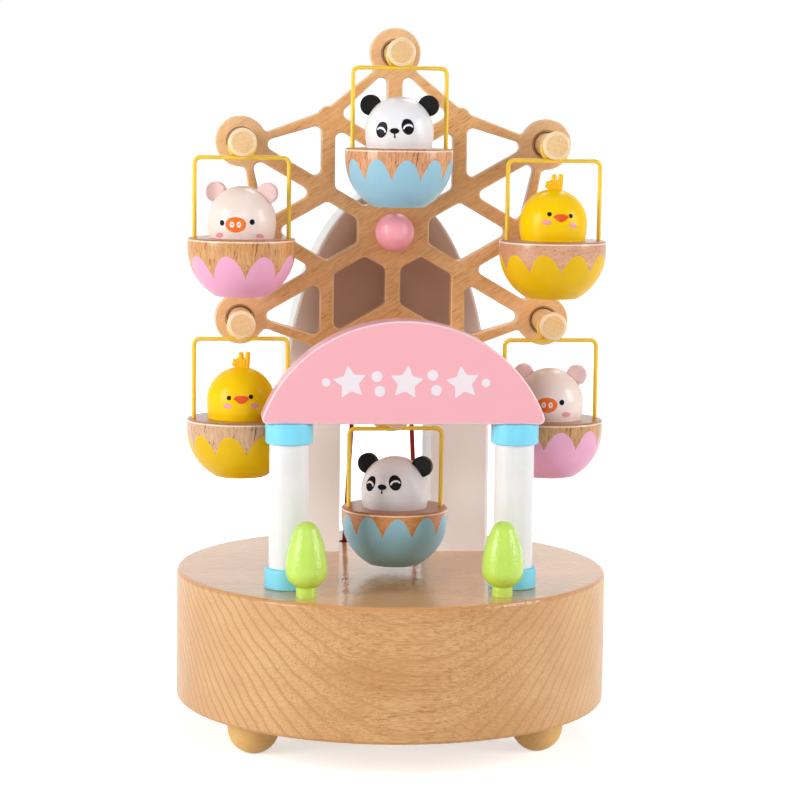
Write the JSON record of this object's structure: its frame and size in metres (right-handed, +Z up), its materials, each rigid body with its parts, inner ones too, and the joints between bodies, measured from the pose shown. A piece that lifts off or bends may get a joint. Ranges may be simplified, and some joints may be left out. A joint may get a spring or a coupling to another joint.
{
  "type": "ferris wheel music box",
  "caption": "Wooden music box: a spoked wheel with hung bowl gondolas turns on a tower, belt-driven from a clockwork movement in a round base behind a small gate.",
  "frame": {"origin": "on the floor under the middle of the round base", "axes": "+Z up, -Y to the front where the gate stands, +X to the right seen from the front"},
  "size_m": [0.12, 0.12, 0.1971],
  "materials": {
    "base_beech": "clear gloss varnish over turned beech",
    "foot_beech": "plain turned beech",
    "cover_ply": "unfinished plywood",
    "wheel_beech": "sanded beech, satin",
    "white_paint": "satin white paint on wood",
    "pink_paint": "satin pink paint on wood",
    "blue_paint": "satin blue paint on wood",
    "lime_paint": "satin lime paint on wood",
    "sky_blue_paint": "wood with a painted sky blue lower part",
    "lilac_paint": "wood with a painted lilac lower part",
    "yellow_paint": "satin yellow paint on wood",
    "cream_paint": "satin pale pink paint on wood",
    "pig_ear_paint": "satin pink paint on wood",
    "black_paint": "satin black paint on wood",
    "yellow_wire": "yellow coated steel wire",
    "axle_steel": "drawn steel",
    "screw_steel": "zinc plated",
    "comb_steel": "ground spring steel",
    "bush_brass": "plain brass",
    "movement_brass": "plain brass",
    "key_brass": "polished brass",
    "bedplate_iron": "plated casting",
    "pulley_plastic": "off-white moulded plastic",
    "belt_rubber": "red elastic cord belt"
  },
  "bodies": {
    "stand": {"axle_bushes": "bush_brass", "ball_feet": "foot_beech", "base_block": "base_beech", "base_cover": "cover_ply", "bedplate": "bedplate_iron", "bottom_screws": "screw_steel", "comb": "comb_steel", "comb_screws": "screw_steel", "drive_belt": "belt_rubber", "gate_arch": "pink_paint", "governor_frame": "movement_brass", "left_foot_ring": "blue_paint", "left_post": "white_paint", "left_post_cap": "blue_paint", "left_tree": "lime_paint", "right_foot_ring": "blue_paint", "right_post": "white_paint", "right_post_cap": "blue_paint", "right_tree": "lime_paint", "tower_back": "white_paint", "tower_front": "white_paint"},
    "wheel": {"wheel": "wheel_beech", "wheel_axle": "axle_steel", "wheel_spacer": "foot_beech", "axle_collar": "foot_beech", "hub_ball": "pink_paint", "wheel_pulley": "pulley_plastic", "gondola_pegs": "wheel_beech"},
    "top_gondola": {"top_hanger": "yellow_wire", "top_bowl": "sky_blue_paint", "top_panda_head": "white_paint", "top_panda_ears": "black_paint"},
    "upper_left_gondola": {"upper_left_hanger": "yellow_wire", "upper_left_bowl": "lilac_paint", "upper_left_pig_head": "cream_paint", "upper_left_pig_ears": "pig_ear_paint"},
    "lower_left_gondola": {"lower_left_hanger": "yellow_wire", "lower_left_bowl": "yellow_paint", "lower_left_chick_head": "yellow_paint", "lower_left_chick_tuft": "yellow_paint"},
    "bottom_gondola": {"bottom_hanger": "yellow_wire", "bottom_bowl": "sky_blue_paint", "bottom_panda_head": "white_paint", "bottom_panda_ears": "black_paint"},
    "lower_right_gondola": {"lower_right_hanger": "yellow_wire", "lower_right_bowl": "lilac_paint", "lower_right_pig_head": "cream_paint", "lower_right_pig_ears": "pig_ear_paint"},
    "upper_right_gondola": {"upper_right_hanger": "yellow_wire", "upper_right_bowl": "yellow_paint", "upper_right_chick_head": "yellow_paint", "upper_right_chick_tuft": "yellow_paint"},
    "cylinder": {"music_cylinder": "movement_brass", "cylinder_arbor": "axle_steel", "cylinder_gears": "movement_brass", "drive_pulley": "pulley_plastic"},
    "barrel": {"spring_barrel": "movement_brass"},
    "winder": {"winding_shaft": "axle_steel", "winding_key": "key_brass"},
    "fly": {"governor_fly": "axle_steel"}
  },
  "joints": [
    {"name": "wheel_spin", "type": "hinge", "parent": "stand", "child": "wheel", "pos_m": [0, 0.006, 0.1408], "axis": [0, 1, 0], "continuous": true},
    {"name": "top_swing", "type": "hinge", "parent": "wheel", "child": "top_gondola", "pos_m": [0, -0.0095, 0.19005], "axis": [0, 1, 0], "continuous": true},
    {"name": "upper_left_swing", "type": "hinge", "parent": "wheel", "child": "upper_left_gondola", "pos_m": [-0.04265, -0.0095, 0.16542], "axis": [0, 1, 0], "continuous": true},
    {"name": "lower_left_swing", "type": "hinge", "parent": "wheel", "child": "lower_left_gondola", "pos_m": [-0.04265, -0.0095, 0.11618], "axis": [0, 1, 0], "continuous": true},
    {"name": "bottom_swing", "type": "hinge", "parent": "wheel", "child": "bottom_gondola", "pos_m": [0, -0.0095, 0.09155], "axis": [0, 1, 0], "continuous": true},
    {"name": "lower_right_swing", "type": "hinge", "parent": "wheel", "child": "lower_right_gondola", "pos_m": [0.04265, -0.0095, 0.11618], "axis": [0, 1, 0], "continuous": true},
    {"name": "upper_right_swing", "type": "hinge", "parent": "wheel", "child": "upper_right_gondola", "pos_m": [0.04265, -0.0095, 0.16542], "axis": [0, 1, 0], "continuous": true},
    {"name": "cylinder_spin", "type": "hinge", "parent": "stand", "child": "cylinder", "pos_m": [0, 0.012, 0.0293], "axis": [0, 1, 0], "continuous": true},
    {"name": "barrel_spin", "type": "hinge", "parent": "stand", "child": "barrel", "pos_m": [0, -0.015, 0.0213], "axis": [0, 0, 1], "continuous": true},
    {"name": "fly_spin", "type": "hinge", "parent": "stand", "child": "fly", "pos_m": [0.0078, 0.0259, 0.0333], "axis": [0, 0, 1], "continuous": true},
    {"name": "key_wind", "type": "hinge", "parent": "stand", "child": "winder", "pos_m": [0, -0.015, 0.006], "axis": [0, 0, 1], "continuous": true}
  ],
  "couplings": [
    {"joint": "top_swing", "follows": "wheel_spin", "ratio": -1},
    {"joint": "upper_left_swing", "follows": "wheel_spin", "ratio": -1},
    {"joint": "lower_left_swing", "follows": "wheel_spin", "ratio": -1},
    {"joint": "bottom_swing", "follows": "wheel_spin", "ratio": -1},
    {"joint": "lower_right_swing", "follows": "wheel_spin", "ratio": -1},
    {"joint": "upper_right_swing", "follows": "wheel_spin", "ratio": -1},
    {"joint": "cylinder_spin", "follows": "wheel_spin", "ratio": 0.5},
    {"joint": "barrel_spin", "follows": "wheel_spin", "ratio": 0.16667},
    {"joint": "fly_spin", "follows": "wheel_spin", "ratio": 12}
  ]
}
